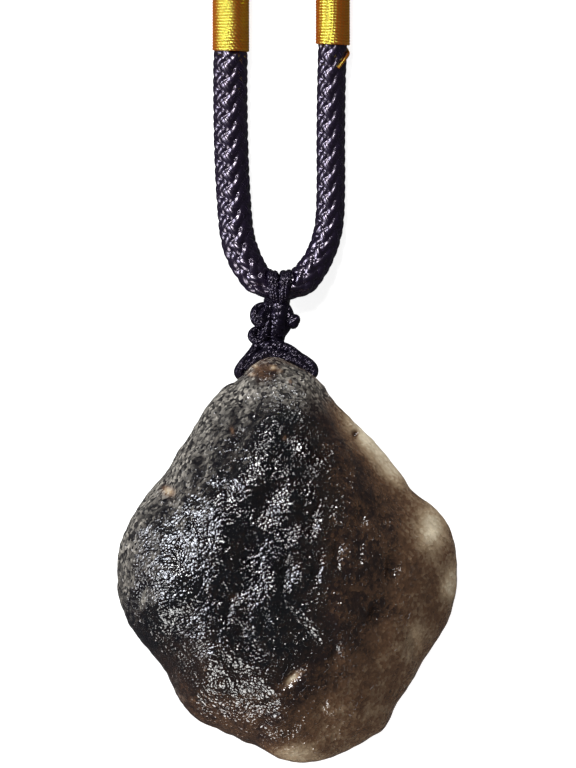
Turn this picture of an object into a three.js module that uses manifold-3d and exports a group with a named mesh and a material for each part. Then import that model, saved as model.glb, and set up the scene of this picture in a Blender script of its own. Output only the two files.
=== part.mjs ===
// A tektite drilled as a pendant, with its hanging thread and its braided necklace cord.
// Millimetres, +Z up. The stone lies on its back on a small flat spot at z = 0, its tip towards +Y.
// The origin is under the middle of the stone.
import * as THREE from "three";
import { mergeVertices } from "three/addons/utils/BufferGeometryUtils.js";
import Module from "manifold-3d";

// ---- Driving dimensions, in mm ----

// Stone: plan outline seen from the front, anticlockwise from the right-hand side.
const OUTLINE = [
  [16.95, -2.5], [16.8, 1.0], [16.3, 3.0], [14.9, 5.1], [12.5, 6.9], [11.9, 8.0], [10.2, 10.0], [8.5, 12.0],
  [6.6, 14.0], [4.6, 16.0], [3.3, 17.8], [2.5, 18.7], [0.3, 19.75], [-1.9, 20.3], [-3.5, 19.6], [-4.5, 18.7],
  [-5.3, 17.9], [-6.5, 17.1], [-8.3, 15.0], [-9.5, 12.9], [-10.9, 10.9], [-11.9, 9.0], [-13.6, 7.0],
  [-15.2, 5.0],
  [-16.3, 2.9], [-16.8, 0.9], [-16.95, -2.4], [-16.6, -5.0], [-15.6, -7.0], [-13.9, -9.1], [-12.2, -11.1],
  [-11.2, -13.1], [-10.1, -15.0], [-8.9, -16.1], [-6.8, -17.1], [-4.4, -18.1], [-2.8, -18.6], [-1.6, -19.5],
  [0.2, -20.2], [2.3, -20.3], [5.0, -19.6], [7.5, -18.3], [9.5, -17.0], [10.2, -16.0], [10.8, -14.6],
  [12.4, -12.3], [13.8, -9.8], [15.6, -7.2], [16.5, -5.0],
];
const STONE_MIDDLE = [-0.5, -1.5]; // the outline is measured round this point
const STONE_DETAIL = 16; // subdivisions of the ball that the stone is shaped from
const EDGE_HEIGHT = 7.4; // height of the widest section above the resting plane
const TIP_EDGE_DROP = 1.9; // the drilled tip lies lower than the rest
const FRONT_RISE = 9.8; // from the widest section to the crown of the front
const BACK_RISE = 7.7; // from the widest section down to the back, before the flat spot is taken off
const CROWN_POWER = 2.3; // how long the front stays full before it rolls over to the edge

// Shoulder on the front: left of this line the stone is full, right of it a thin flank.
const SHOULDER = [
  [2.9, 18.4], [3.8, 15.6], [5.6, 11.4], [7.6, 6.5], [8.6, 1.5], [8.2, -4.0], [5.6, -9.5], [1.0, -14.5],
  [-3.0, -17.5],
];
const SHOULDER_SHARE = [0.42, 0.6, 0.62, 0.46, 0.36, 0.34, 0.32, 0.26, 0.16]; // of the rise, lacking there
const SHOULDER_WIDTH = [0.9, 1.0, 1.5, 4.4, 7.0, 7.4, 6.6, 4.6, 3.0]; // distance over which it drops

// Broad lumps and hollows: [x, y, half-width x, half-width y, height], the first list on the front.
const FRONT_LUMPS = [
  [-7.5, 5.5, 3.4, 5.0, 0.9], [-12.0, -3.0, 2.6, 4.0, 0.6], [-3.0, 11.0, 2.4, 4.5, 0.7],
  [-8.6, -9.5, 3.2, 3.0, 0.6], [3.4, 0.5, 2.6, 4.5, 0.5], [-2.2, -13.0, 3.6, 2.6, 0.6],
  [12.6, -1.0, 1.8, 3.2, 0.7], [11.2, -8.0, 2.2, 2.8, 0.8], [6.0, -15.0, 2.6, 1.8, 0.6],
  [8.2, 9.6, 1.2, 2.4, 0.5], [-4.2, 0.0, 1.8, 3.2, -0.5], [-10.6, 1.5, 1.4, 2.4, -0.4],
  [1.0, -6.5, 2.0, 2.6, -0.5], [7.6, -1.5, 1.5, 3.4, -0.5], [13.6, 3.4, 1.6, 1.2, -0.5],
  [-6.4, -14.2, 1.8, 1.3, -0.5], [3.4, -10.6, 1.6, 2.2, -0.4],
];
const BACK_LUMPS = [
  [-10.5, 6.0, 2.6, 3.2, -0.8], [9.0, 4.0, 3.0, 3.6, -0.8], [-9.0, -11.0, 2.6, 2.4, -0.7],
  [8.5, -11.0, 2.8, 2.6, 0.6], [0.5, 12.5, 2.8, 2.6, -0.7], [-13.0, -2.0, 1.8, 2.8, 0.5],
  [12.6, -3.5, 1.9, 2.6, -0.7], [-0.5, -14.0, 3.0, 2.0, -0.6], [-6.2, 9.5, 1.6, 2.0, 0.5],
  [5.4, 9.8, 1.5, 2.0, 0.5],
];
// Etched dimples, longer than they are wide: [x, y], the same size all over each face.
const FRONT_DIMPLES = [
  [-0.2, -1.2], [3.1, -0.4], [5.4, 0.9], [5.7, -2.6], [7.2, 3.9], [10.6, 0.0], [10.2, -3.2], [9.0, -5.6],
  [12.4, -8.8], [4.7, -9.2], [0.6, -11.4], [-4.5, -7.2], [2.0, 4.6], [-6.8, -3.4], [-1.8, 6.6], [-8.6, 8.8],
  [-11.4, -6.6],
];
const BACK_DIMPLES = [
  [-3.2, 8.0], [2.6, 7.2], [-8.0, 3.6], [7.0, 0.4], [-7.4, -6.4], [6.2, -7.0], [-2.4, -9.8], [3.0, -12.6],
  [11.0, 2.0], [-12.2, 2.6], [0.4, 15.0], [-11.2, -9.0],
];
const DIMPLE_HALF = [0.7, 1.3];
const DIMPLE_DEPTH = 0.45;

// Drilled hole through the tip, along X.
const BORE_RADIUS = 0.8;
const BORE_Y = 18.2;
const BORE_Z = 5.5;
const BORE_MOUTHS = [[-5.0, 18.75, 5.9], [2.7, 18.85, 5.0]]; // its chipped ends, where the thread beds in
const MOUTH_RADIUS = 1.1;

// Hanging thread.
const THREAD_RADIUS = 0.5;
const THREAD_STEPS = 32;
const THREAD_ROUTE = [
  [-2.6, 22.6, 3.5], [-2.95, 21.65, 3.9], [-3.4, 20.85, 4.4], [-3.95, 20.15, 5.0], [-4.5, 19.5, 5.6],
  [-4.9, 18.75, 5.9], [-4.5, 18.25, 5.6], [-3.6, 18.2, 5.5], [0.9, 18.2, 5.5], [1.9, 18.25, 5.4],
  [2.55, 18.65, 5.1], [2.45, 19.25, 4.7], [1.85, 19.75, 4.3], [1.15, 20.15, 4.0], [0.4, 20.55, 3.7],
  [-0.5, 21.1, 3.4], [-1.4, 22.0, 3.3],
];
// Lumps of the knot: [x, y, z, radius x, radius y, radius z].
const KNOT_LUMPS = [
  [-1.6, 23.5, 3.3, 1.7, 2.2, 1.5], [-2.6, 24.3, 3.5, 1.1, 1.25, 1.1], [-3.2, 22.6, 3.6, 0.85, 0.85, 0.7],
  [-0.8, 24.3, 3.0, 1.15, 1.3, 1.2], [-1.9, 21.5, 3.3, 1.15, 1.0, 0.9],
];
const KNOT_TAIL = { from: [-0.8, 23.7, 3.3], to: [1.05, 23.75, 3.3], radius: 0.72 }; // cut and melted end
const WRAP_COUNT = 4;
const WRAP_PITCH = 0.75; // turns lie side by side along the braid
const WRAP_INNER = 1.78;
const WRAP_OUTER = 2.26;

// Necklace cord: a round braid.
const BRAID_RADIUS = 1.6;
const LEG_RADIUS = 1.5; // under the whippings and the thread the braid is squeezed to this
const CORD_STEPS = 56;
// Centreline where it isn't coiled, from the coil down the left leg, round the bend and up the right leg.
const CORD_ROUTE = [
  [-7.05, 69.3, 1.65], [-6.1, 67.3, 1.7], [-5.7, 64.7, 1.85], [-5.7, 60.0, 1.95], [-5.7, 53.0, 1.95],
  [-5.75, 47.0, 1.75], [-5.65, 41.0, 1.65], [-5.4, 36.0, 1.7], [-5.0, 32.2, 1.9], [-4.15, 29.85, 2.15],
  [-2.7, 27.8, 2.4], [-0.8, 26.95, 2.5], [1.1, 27.65, 2.4], [2.4, 29.0, 2.2], [3.45, 30.9, 1.95],
  [4.15, 33.4, 1.75], [4.35, 37.0, 1.65], [4.35, 42.0, 1.65], [4.4, 47.0, 1.75], [4.55, 53.0, 1.95],
  [4.55, 60.0, 1.95],
  [4.65, 63.6, 1.75], [5.5, 66.7, 1.65], [6.95, 68.6, 1.65], [8.4, 69.98, 1.65],
];

// Wound-up rest of the necklace.
const COIL_MIDDLE = [-0.65, 93.4];
const COIL_INNER = 12.8;
const COIL_OUTER = 23.4;
const COIL_HEIGHT = 6.4;

// Gold thread whippings.
const WHIPPING_START = { left: 50.95, right: 51.6 };
const WHIPPING_LENGTH = 9.6;
const WHIPPING_INNER = 1.62;
const WHIPPING_RADIUS = { left: 1.88, right: 1.75 };
const WHIPPING_X = { left: -5.7, right: 4.55 };
const WHIPPING_Z = 1.95;

const wasm = await Module();
wasm.setup();

// ---- Helpers ----

const X_AXIS = new THREE.Vector3(1, 0, 0);
const Y_AXIS = new THREE.Vector3(0, 1, 0); // a lathe turns round this

const smooth = (low, high, value) => THREE.MathUtils.smoothstep(value, low, high);

function solid(geometry) {
  const bare = geometry.clone();
  bare.deleteAttribute("normal");
  bare.deleteAttribute("uv");
  const merged = mergeVertices(bare, 1e-4);
  return new wasm.Manifold(
    new wasm.Mesh({
      numProp: 3,
      vertProperties: new Float32Array(merged.attributes.position.array),
      triVerts: new Uint32Array(merged.index.array),
    }),
  );
}

function geometryOf(manifold) {
  const mesh = manifold.getMesh();
  const geometry = new THREE.BufferGeometry();
  geometry.setAttribute("position", new THREE.BufferAttribute(mesh.vertProperties, 3));
  geometry.setIndex(new THREE.BufferAttribute(mesh.triVerts, 1));
  geometry.computeVertexNormals();
  return geometry;
}

function routeCurve(points) {
  return new THREE.CatmullRomCurve3(points.map((p) => new THREE.Vector3(...p)), false, "centripetal");
}

function tube(path, radius, sides, steps) {
  const section = new THREE.Shape();
  for (let i = 0; i < sides; i++) {
    const angle = (2 * Math.PI * i) / sides;
    const corner = [radius * Math.cos(angle), radius * Math.sin(angle)];
    if (i === 0) section.moveTo(...corner);
    else section.lineTo(...corner);
  }
  return new THREE.ExtrudeGeometry(section, { steps, bevelEnabled: false, extrudePath: path });
}

// A closed ring about +Z, of a profile of [radius, height] corners.
function ring(profile, segments) {
  const corners = [...profile, profile[0]].map((p) => new THREE.Vector2(...p));
  return new THREE.LatheGeometry(corners, segments);
}

// ---- Stone ----

// Reach of the outline from the stone's middle, in any direction seen from the front.
function outlineReach() {
  const curve = new THREE.CatmullRomCurve3(
    OUTLINE.map(([x, y]) => new THREE.Vector3(x - STONE_MIDDLE[0], y - STONE_MIDDLE[1], 0)),
    true,
    "centripetal",
  );
  const samples = curve
    .getPoints(1500)
    .slice(0, -1)
    .map((p) => [Math.atan2(p.y, p.x), Math.hypot(p.x, p.y)])
    .sort((a, b) => a[0] - b[0]);
  return (angle) => {
    const next = samples.findIndex((s) => s[0] >= angle);
    const [a1, r1] = samples[next < 0 ? 0 : next];
    const [a0, r0] = samples.at((next < 0 ? 0 : next) - 1);
    const turn = 2 * Math.PI;
    const gap = (a1 - a0 + turn) % turn || 1;
    return r0 + ((r1 - r0) * ((angle - a0 + turn) % turn)) / gap;
  };
}

// The share of its rise that the front lacks at a place, because it is on the flank.
function shoulderLack() {
  const line = routeCurve(SHOULDER.map(([x, y]) => [x, y, 0]));
  const count = 240;
  const at = [];
  for (let i = 0; i <= count; i++) at.push([line.getPoint(i / count), line.getTangent(i / count)]);
  const along = (values, t) => {
    const place = t * (values.length - 1);
    const k = Math.min(Math.floor(place), values.length - 2);
    return THREE.MathUtils.lerp(values[k], values[k + 1], place - k);
  };
  return (x, y) => {
    let best = 0;
    let least = Infinity;
    at.forEach(([p], i) => {
      const d = (p.x - x) ** 2 + (p.y - y) ** 2;
      if (d < least) [least, best] = [d, i];
    });
    const [p, t] = at[best];
    const side = Math.sign(t.y * (x - p.x) - t.x * (y - p.y)) * -1; // the line runs from the tip down
    const distance = side * Math.sqrt(least);
    const width = along(SHOULDER_WIDTH, best / count);
    return along(SHOULDER_SHARE, best / count) * smooth(-0.4 * width, width, distance);
  };
}

function relief(x, y, lumps, dimples) {
  let height = 0;
  for (const [cx, cy, wx, wy, h] of lumps) {
    height += h * Math.exp(-(((x - cx) / wx) ** 2) - ((y - cy) / wy) ** 2);
  }
  for (const [cx, cy] of dimples) {
    const away = ((x - cx) / DIMPLE_HALF[0]) ** 2 + ((y - cy) / DIMPLE_HALF[1]) ** 2;
    height -= DIMPLE_DEPTH * Math.exp(-away);
  }
  return height;
}

// Gentle unevenness of the whole skin.
function knobbly(x, y, z) {
  return (
    0.16 * Math.sin(0.95 * x + 0.6 * y + 1.1) * Math.sin(0.8 * y - 0.7 * z + 0.4) +
    0.1 * Math.sin(1.7 * y + 0.5 * x) * Math.sin(1.5 * x - 1.1 * z + 2.0)
  );
}

function makeStone() {
  const ball = new THREE.IcosahedronGeometry(1, STONE_DETAIL);
  ball.deleteAttribute("normal");
  ball.deleteAttribute("uv");
  const skin = mergeVertices(ball, 1e-6);
  const place = skin.attributes.position;
  const reachOf = outlineReach();
  const lackOf = shoulderLack();
  const n = new THREE.Vector3();
  for (let i = 0; i < place.count; i++) {
    n.fromBufferAttribute(place, i).normalize();
    const angle = Math.atan2(n.y, n.x);
    const share = Math.hypot(n.x, n.y); // 0 in the middle of a face, 1 on the outline
    const out = reachOf(angle) * share;
    const x = STONE_MIDDLE[0] + out * Math.cos(angle);
    const y = STONE_MIDDLE[1] + out * Math.sin(angle);
    const edge = EDGE_HEIGHT - TIP_EDGE_DROP * smooth(7, 18, y);
    const inside = Math.sqrt(Math.max(0, 1 - share ** 2));
    const fullness = Math.sqrt(Math.max(0, 1 - share ** CROWN_POWER));
    let z;
    if (n.z >= 0) {
      const rise = FRONT_RISE * fullness * (1 - lackOf(x, y));
      z = edge + rise + relief(x, y, FRONT_LUMPS, FRONT_DIMPLES) * smooth(0, 0.5, inside);
    } else {
      z = edge - BACK_RISE * inside - relief(x, y, BACK_LUMPS, BACK_DIMPLES) * smooth(0, 0.5, inside);
    }
    z += knobbly(x, y, z) * smooth(0, 0.6, inside);
    place.setXYZ(i, x, y, z);
  }
  const below = new THREE.BoxGeometry(60, 60, 10).translate(0, 0, -5);
  const bore = new THREE.CylinderGeometry(BORE_RADIUS, BORE_RADIUS, 24, 14).rotateZ(Math.PI / 2);
  bore.translate(-1, BORE_Y, BORE_Z);
  let stone = solid(skin).subtract(solid(below)).subtract(solid(bore));
  for (const mouth of BORE_MOUTHS) {
    stone = stone.subtract(solid(new THREE.SphereGeometry(MOUTH_RADIUS, 10, 6).translate(...mouth)));
  }
  return geometryOf(stone);
}

// ---- Thread and cord ----

const cordCurve = routeCurve(CORD_ROUTE);

function makeThread() {
  let body = solid(tube(routeCurve(THREAD_ROUTE), THREAD_RADIUS, 8, THREAD_STEPS));
  for (const [x, y, z, rx, ry, rz] of KNOT_LUMPS) {
    body = body.add(solid(new THREE.SphereGeometry(1, 10, 7).scale(rx, ry, rz).translate(x, y, z)));
  }
  const from = new THREE.Vector3(...KNOT_TAIL.from);
  const to = new THREE.Vector3(...KNOT_TAIL.to);
  body = body.add(solid(tube(new THREE.LineCurve3(from, to), KNOT_TAIL.radius, 8, 1)));

  // The turns round the braid lie side by side across the lowest point of its bend.
  const length = cordCurve.getLength();
  let low = 0;
  for (let t = 0; t <= 1; t += 0.002) if (cordCurve.getPointAt(t).y < cordCurve.getPointAt(low).y) low = t;
  const half = WRAP_PITCH / 2 + 0.05;
  const crest = WRAP_PITCH / 4;
  const turnProfile = [
    [WRAP_INNER, -half], [WRAP_OUTER - crest, -half], [WRAP_OUTER, 0], [WRAP_OUTER - crest, half],
    [WRAP_INNER, half],
  ];
  for (let i = 0; i < WRAP_COUNT; i++) {
    const t = low + ((i - (WRAP_COUNT - 1) / 2) * WRAP_PITCH) / length;
    const at = cordCurve.getPointAt(t);
    const axis = cordCurve.getTangentAt(t).add(X_AXIS).normalize(); // halfway from square to side by side
    const lean = new THREE.Quaternion().setFromUnitVectors(Y_AXIS, axis);
    const turn = ring(turnProfile, 10).applyQuaternion(lean);
    body = body.add(solid(turn.translate(at.x, at.y, at.z)));
  }
  return geometryOf(body);
}

function makeCord() {
  return tube(cordCurve, LEG_RADIUS, 8, CORD_STEPS);
}

function makeCoil() {
  const round = BRAID_RADIUS * 0.6;
  const profile = [
    [COIL_INNER, round], [COIL_INNER + round, 0], [COIL_OUTER - round, 0], [COIL_OUTER, round],
    [COIL_OUTER, COIL_HEIGHT - round], [COIL_OUTER - round, COIL_HEIGHT], [COIL_INNER + round, COIL_HEIGHT],
    [COIL_INNER, COIL_HEIGHT - round],
  ];
  const coil = ring(profile, 36);
  coil.rotateX(Math.PI / 2);
  coil.translate(COIL_MIDDLE[0], COIL_MIDDLE[1], 0);
  return coil;
}

function makeWhipping(side) {
  const outer = WHIPPING_RADIUS[side];
  const profile = [
    [WHIPPING_INNER, 0], [outer - 0.1, 0], [outer, 0.2], [outer, WHIPPING_LENGTH - 0.2],
    [outer - 0.1, WHIPPING_LENGTH], [WHIPPING_INNER, WHIPPING_LENGTH],
  ];
  const sleeve = ring(profile, 14);
  sleeve.translate(WHIPPING_X[side], WHIPPING_START[side], WHIPPING_Z);
  return sleeve;
}

// ---- Pendant ----

const glass = new THREE.MeshStandardMaterial({ color: 0x1c171a, roughness: 0.35, metalness: 0 });
const waxedThread = new THREE.MeshStandardMaterial({ color: 0x151218, roughness: 0.5, metalness: 0 });
const blackBraid = new THREE.MeshStandardMaterial({ color: 0x14121a, roughness: 0.45, metalness: 0 });
const goldThread = new THREE.MeshStandardMaterial({ color: 0xd9a520, roughness: 0.4, metalness: 0.2 });

const pendant = new THREE.Group();

function addPiece(name, geometry, material) {
  const mesh = new THREE.Mesh(geometry, material);
  mesh.name = name;
  pendant.add(mesh);
}

addPiece("tektite", makeStone(), glass);
addPiece("hanging_thread", makeThread(), waxedThread);
addPiece("necklace_cord", makeCord(), blackBraid);
addPiece("necklace_coil", makeCoil(), blackBraid);
for (const side of ["left", "right"]) addPiece("gold_whipping_" + side, makeWhipping(side), goldThread);

export default pendant;
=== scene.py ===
import math

import bpy
import numpy as np
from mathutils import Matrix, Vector
from mathutils.bvhtree import BVHTree
from mathutils.kdtree import KDTree


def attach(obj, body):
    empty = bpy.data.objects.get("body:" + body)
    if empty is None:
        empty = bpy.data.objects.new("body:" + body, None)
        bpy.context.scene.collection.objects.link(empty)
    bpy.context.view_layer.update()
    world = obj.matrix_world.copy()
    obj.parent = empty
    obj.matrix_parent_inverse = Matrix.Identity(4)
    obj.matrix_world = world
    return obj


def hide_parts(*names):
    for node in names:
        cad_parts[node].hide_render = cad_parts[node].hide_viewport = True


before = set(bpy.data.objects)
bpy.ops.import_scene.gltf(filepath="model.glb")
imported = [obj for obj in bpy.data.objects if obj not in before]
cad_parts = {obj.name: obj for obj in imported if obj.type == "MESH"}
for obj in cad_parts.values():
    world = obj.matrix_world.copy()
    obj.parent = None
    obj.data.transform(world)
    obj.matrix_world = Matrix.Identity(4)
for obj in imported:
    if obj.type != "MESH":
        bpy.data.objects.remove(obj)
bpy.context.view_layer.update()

MM = 0.001


# ---- Studio -----------------------------------------------------------------------------------------
# A white paper table under soft light from a window on the left, with weaker lamps round it, and a long
# lens that looks straight down at the pendant. It is only the stage and no part of the object.

LENS = 460.0                   # mm, long enough that the view is nearly parallel
SENSOR = 36.0                  # mm
VIEW_HEIGHT = 76.8 * MM        # what the picture's long side takes in
VIEW_MIDDLE = (0.05 * MM, 17.55 * MM)
SHARP_HEIGHT = 7.0 * MM        # height above the table at which the view is that large
VIEW_REACH = 20.0              # metres, much further than the table
TABLE_SIZE = 6.0               # metres
ROOM_LIGHT = 0.065             # the strength of the light that comes from all round
LAMP_AIM = Vector((0, 0.01, 0.01))     # metres, where all the lamps point
LAMPS = {                      # name: place in metres, width and height in metres, watts, colour
    "window": ((-1.05, 0.21, 0.66), (0.42, 0.42), 10.6, "#f1f4ff"),
    "left": ((-1.25, -0.02, 0.18), (0.4, 0.3), 2.8, "#ffffff"),
    "back": ((-0.22, 0.66, 1.0), (0.22, 0.22), 8.5, "#ffffff"),
    "top": ((0.1, 1.25, 0.42), (0.24, 0.2), 2.4, "#ffffff"),
    "low": ((-0.6, -1.05, 0.45), (0.5, 0.5), 8.5, "#f7f6f4"),
}

camera_data = bpy.data.cameras.new("camera")
camera_data.lens = LENS
camera_data.sensor_width = SENSOR
camera_data.clip_end = VIEW_REACH
camera = bpy.data.objects.new("camera", camera_data)
bpy.context.collection.objects.link(camera)
camera.location = (*VIEW_MIDDLE, SHARP_HEIGHT + VIEW_HEIGHT * LENS / SENSOR)
bpy.context.scene.camera = camera


def linear(colour):
    """An sRGB hex colour such as "#c8a45a" as linear red, green, blue and alpha."""
    parts = [int(colour[i:i + 2], 16) / 255 for i in (1, 3, 5)]
    return [c / 12.92 if c <= 0.04045 else ((c + 0.055) / 1.055) ** 2.4 for c in parts] + [1.0]


def node(tree, kind, inputs, stops=(), **settings):
    """Adds one shader node. An input is a constant, another node's output, or another node, which gives
    its first output. Stops are a colour ramp's places, each with a hex colour or a grey from 0 to 1."""
    made = tree.nodes.new(kind)
    for name, value in settings.items():
        setattr(made, name, value)
    for name, value in inputs.items():
        if isinstance(value, bpy.types.Node):
            value = value.outputs[0]
        if isinstance(value, bpy.types.NodeSocket):
            tree.links.new(value, made.inputs[name])
        else:
            made.inputs[name].default_value = value
    if stops:
        elements = made.color_ramp.elements
        while len(elements) < len(stops):
            elements.new(0.5)
        for element, (position, colour) in zip(elements, stops):
            element.position = position
            element.color = linear(colour) if isinstance(colour, str) else [colour] * 3 + [1.0]
    return made


def new_material(name):
    """An empty material and its node tree."""
    made = bpy.data.materials.new(name)
    made.use_nodes = True
    made.node_tree.nodes.clear()
    return made, made.node_tree


# Matt white paper. It gives off some light of its own, so that it stays pale and even to the edges.
paper, tree = new_material("white paper")
shader = node(tree, "ShaderNodeBsdfPrincipled", {
    "Base Color": linear("#cfcfcd"), "Roughness": 0.9, "Specular IOR Level": 0.1,
    "Emission Color": linear("#ffffff"), "Emission Strength": 0.88})
node(tree, "ShaderNodeOutputMaterial", {"Surface": shader})

bpy.ops.object.select_all(action="DESELECT")
bpy.ops.mesh.primitive_plane_add(size=TABLE_SIZE)
floor = bpy.context.object
floor.name = "white_table"
floor.data.materials.append(paper)
floor.visible_glossy = False   # gloss on the object mirrors the dark room, not the lit paper

sky = bpy.data.worlds.new("soft room light")
bpy.context.scene.world = sky
sky.use_nodes = True
background = sky.node_tree.nodes["Background"]
background.inputs["Color"].default_value = linear("#fbfcff")
background.inputs["Strength"].default_value = ROOM_LIGHT

for name, (place, (width, height), watts, colour) in LAMPS.items():
    lamp = bpy.data.lights.new(name, "AREA")
    lamp.shape = "RECTANGLE"
    lamp.size = width
    lamp.size_y = height
    lamp.energy = watts
    lamp.color = linear(colour)[:3]
    holder = bpy.data.objects.new(name, lamp)
    bpy.context.collection.objects.link(holder)
    holder.location = place
    holder.rotation_euler = (LAMP_AIM - Vector(place)).to_track_quat("-Z", "Y").to_euler()
bpy.context.scene.view_settings.view_transform = "Standard"


# ---- Necklace cord ----------------------------------------------------------------------------------
# A round braid of black polyester, 3.2 mm thick: 24 strands, twelve winding each way, each passing over
# two and under two, so that they show as twelve columns of slanted stitches, leaning by turns left and
# right. It bends through the thread's turns below the two legs; the rest is wound up above the view.

BRAID_RADIUS = 1.62            # mm, as all sizes from here on
COLUMNS = 12                   # columns of stitches round the braid
STITCH_STEP = 1.8              # from stitch to stitch along a column
STITCH_LEAN = 40.0             # degrees between a stitch and the braid
STITCH_LONG = 0.95             # half its length
STITCH_WIDE = 0.58             # half its width
STITCH_CROWN = 0.48            # its crown over the hollows
STITCH_BLUNT = 3               # how bluntly its ends dive under the next ones
COLUMN_SHIFT = 5 / 12          # of a step, from one column to the next
PATCH_STEPS = (2.7, 3.1)       # from a stitch's patch of the pattern to the next, along and across

LEG_LENGTH = 30.0              # from the bend up into the whippings, where the mesh is finest
LEG_AROUND = 72                # points round the braid on the legs
COIL_AROUND = 48               # and further on
LEG_RING_STEP = STITCH_STEP / 12
COIL_RING_STEP = STITCH_STEP / 4
COLUMN_TURN_MARGIN = 10.0      # past the legs, before the braid starts to turn on its way round the neck
AIM_REACH = 0.05               # how far before and behind a ring its direction is read

PINCH = 0.22                   # share of its thickness that the braid loses under the thread's turns
PINCH_REACH = (1.3, 2.6)       # from the bend, where the pinch starts to fade and where it ends
LEG_REACH = (2.0, 6.0)         # from the bend, over which each leg takes on its own thickness
LEFT_SWELL = 0.1               # share by which the left leg is thicker, up to its whipping
LEFT_SWELL_END = (25.2, 26.6)  # from the bend, where that starts to fade and where it ends
RIGHT_SLIM = 0.08              # share by which the right leg is slimmer, up to the coil
RIGHT_SLIM_END = (40.0, 30.0)  # from the bend, where that ends and where it starts to fade

CORD_ROUTE = [                 # the same points as the frame's cord
    (-7.05, 69.3, 1.65), (-6.1, 67.3, 1.7), (-5.7, 64.7, 1.85), (-5.7, 60.0, 1.95), (-5.7, 53.0, 1.95),
    (-5.75, 47.0, 1.75), (-5.65, 41.0, 1.65), (-5.4, 36.0, 1.7), (-5.0, 32.2, 1.9), (-4.15, 29.85, 2.15),
    (-2.7, 27.8, 2.4), (-0.8, 26.95, 2.5), (1.1, 27.65, 2.4), (2.4, 29.0, 2.2), (3.45, 30.9, 1.95),
    (4.15, 33.4, 1.75), (4.35, 37.0, 1.65), (4.35, 42.0, 1.65), (4.4, 47.0, 1.75), (4.55, 53.0, 1.95),
    (4.55, 60.0, 1.95), (4.65, 63.6, 1.75), (5.5, 66.7, 1.65), (6.95, 68.6, 1.65), (8.4, 69.98, 1.65),
]
BEND = 11                      # which of them is the lowest point of the bend
COIL_MIDDLE = (-0.65, 93.4)
COIL_START = 21.2              # radius of the first turn
COIL_STEP = 3.22               # from turn to turn, a braid's thickness
COIL_FIRST_ANGLE = 225.0       # degrees; wound clockwise from here
COIL_TURNS = 4.75
COIL_FOLD = 2.1                # turns wound inwards on the table before it winds out again on top
COIL_FOLD_ROUND = 0.12         # of a turn, how softly it starts to wind out again
COIL_CLIMB = (COIL_FOLD - 0.25, COIL_FOLD + 0.35)  # turns between which it climbs on top
COIL_DESCENT = (4.2, 4.7)      # turns between which it comes down to the right leg
COIL_CLEARANCE = 0.03          # over the table
COIL_POINTS = 24               # points of the route to a turn
CURVE_STEPS = 40               # steps of a smooth curve from one of its points to the next
TINY = 1e-9                    # the least length that anything is divided by


def soft_step(low, high, value):
    """0 below low, 1 above high and smooth between, for a number or an array."""
    share = np.clip((value - low) / (high - low), 0, 1)
    return share * share * (3 - 2 * share)


def coil_point(turn):
    """A place on the coil's route after so many turns."""
    from_fold = math.sqrt((turn - COIL_FOLD) ** 2 + COIL_FOLD_ROUND ** 2)
    radius = COIL_START + COIL_STEP * (from_fold - COIL_FOLD)
    lift = soft_step(*COIL_CLIMB, turn) - soft_step(*COIL_DESCENT, turn)
    angle = math.radians(COIL_FIRST_ANGLE - 360 * turn)
    return (COIL_MIDDLE[0] + radius * math.cos(angle), COIL_MIDDLE[1] + radius * math.sin(angle),
            BRAID_RADIUS + COIL_CLEARANCE + COIL_STEP * lift)


def smooth_curve(points):
    """Close-set places on a smooth curve through the points, and the curve's length up to each."""
    knots = [Vector(p) for p in points]
    fine = []
    for i in range(len(knots) - 1):
        before = knots[max(i - 1, 0)]
        after = knots[min(i + 2, len(knots) - 1)]
        a, b = knots[i], knots[i + 1]
        span = (b - a).length
        out = (b - before) / max((b - a).length + (a - before).length, TINY) * span
        into = (after - a) / max((after - b).length + (b - a).length, TINY) * span
        for k in range(CURVE_STEPS):
            t = k / CURVE_STEPS
            fine.append((2 * t**3 - 3 * t**2 + 1) * a + (t**3 - 2 * t**2 + t) * out
                        + (3 * t**2 - 2 * t**3) * b + (t**3 - t**2) * into)
    fine.append(knots[-1])
    lengths = [0.0]
    for a, b in zip(fine, fine[1:]):
        lengths.append(lengths[-1] + (b - a).length)
    return fine, lengths


def at_length(curve, s):
    """The place that lies a length s along a smooth curve."""
    fine, lengths = curve
    low, high = 0, len(lengths) - 1
    while high - low > 1:
        middle = (low + high) // 2
        if lengths[middle] <= s:
            low = middle
        else:
            high = middle
    share = (s - lengths[low]) / max(lengths[high] - lengths[low], TINY)
    return fine[low].lerp(fine[high], min(1.0, max(0.0, share)))


# The route starts at the bend, goes up the left leg, round the coil, down the right leg and back.
coil_route = [coil_point(i / COIL_POINTS) for i in range(int(COIL_TURNS * COIL_POINTS) + 1)]
cord_curve = smooth_curve(CORD_ROUTE[BEND::-1] + coil_route + CORD_ROUTE[:BEND - 1:-1])
cord_length = cord_curve[1][-1]
right_leg = cord_length - LEG_LENGTH

leg_rings = int(LEG_LENGTH / LEG_RING_STEP) + 1
coil_rings = int((cord_length - 2 * LEG_LENGTH) / COIL_RING_STEP) - 1
ring_places = np.concatenate([
    np.linspace(0, LEG_LENGTH, leg_rings),
    np.linspace(LEG_LENGTH, right_leg, coil_rings + 2)[1:-1],
    np.linspace(right_leg, cord_length, leg_rings)])
ring_points = [LEG_AROUND] * leg_rings + [COIL_AROUND] * coil_rings + [LEG_AROUND] * leg_rings


def column_at(around, s):
    """The column of stitches, as a number with its fraction, at a share of a turn round the braid. The
    cord turns by one column on its way round the neck."""
    return COLUMNS * around + soft_step(LEG_LENGTH + COLUMN_TURN_MARGIN, right_leg - COLUMN_TURN_MARGIN, s)


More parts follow.
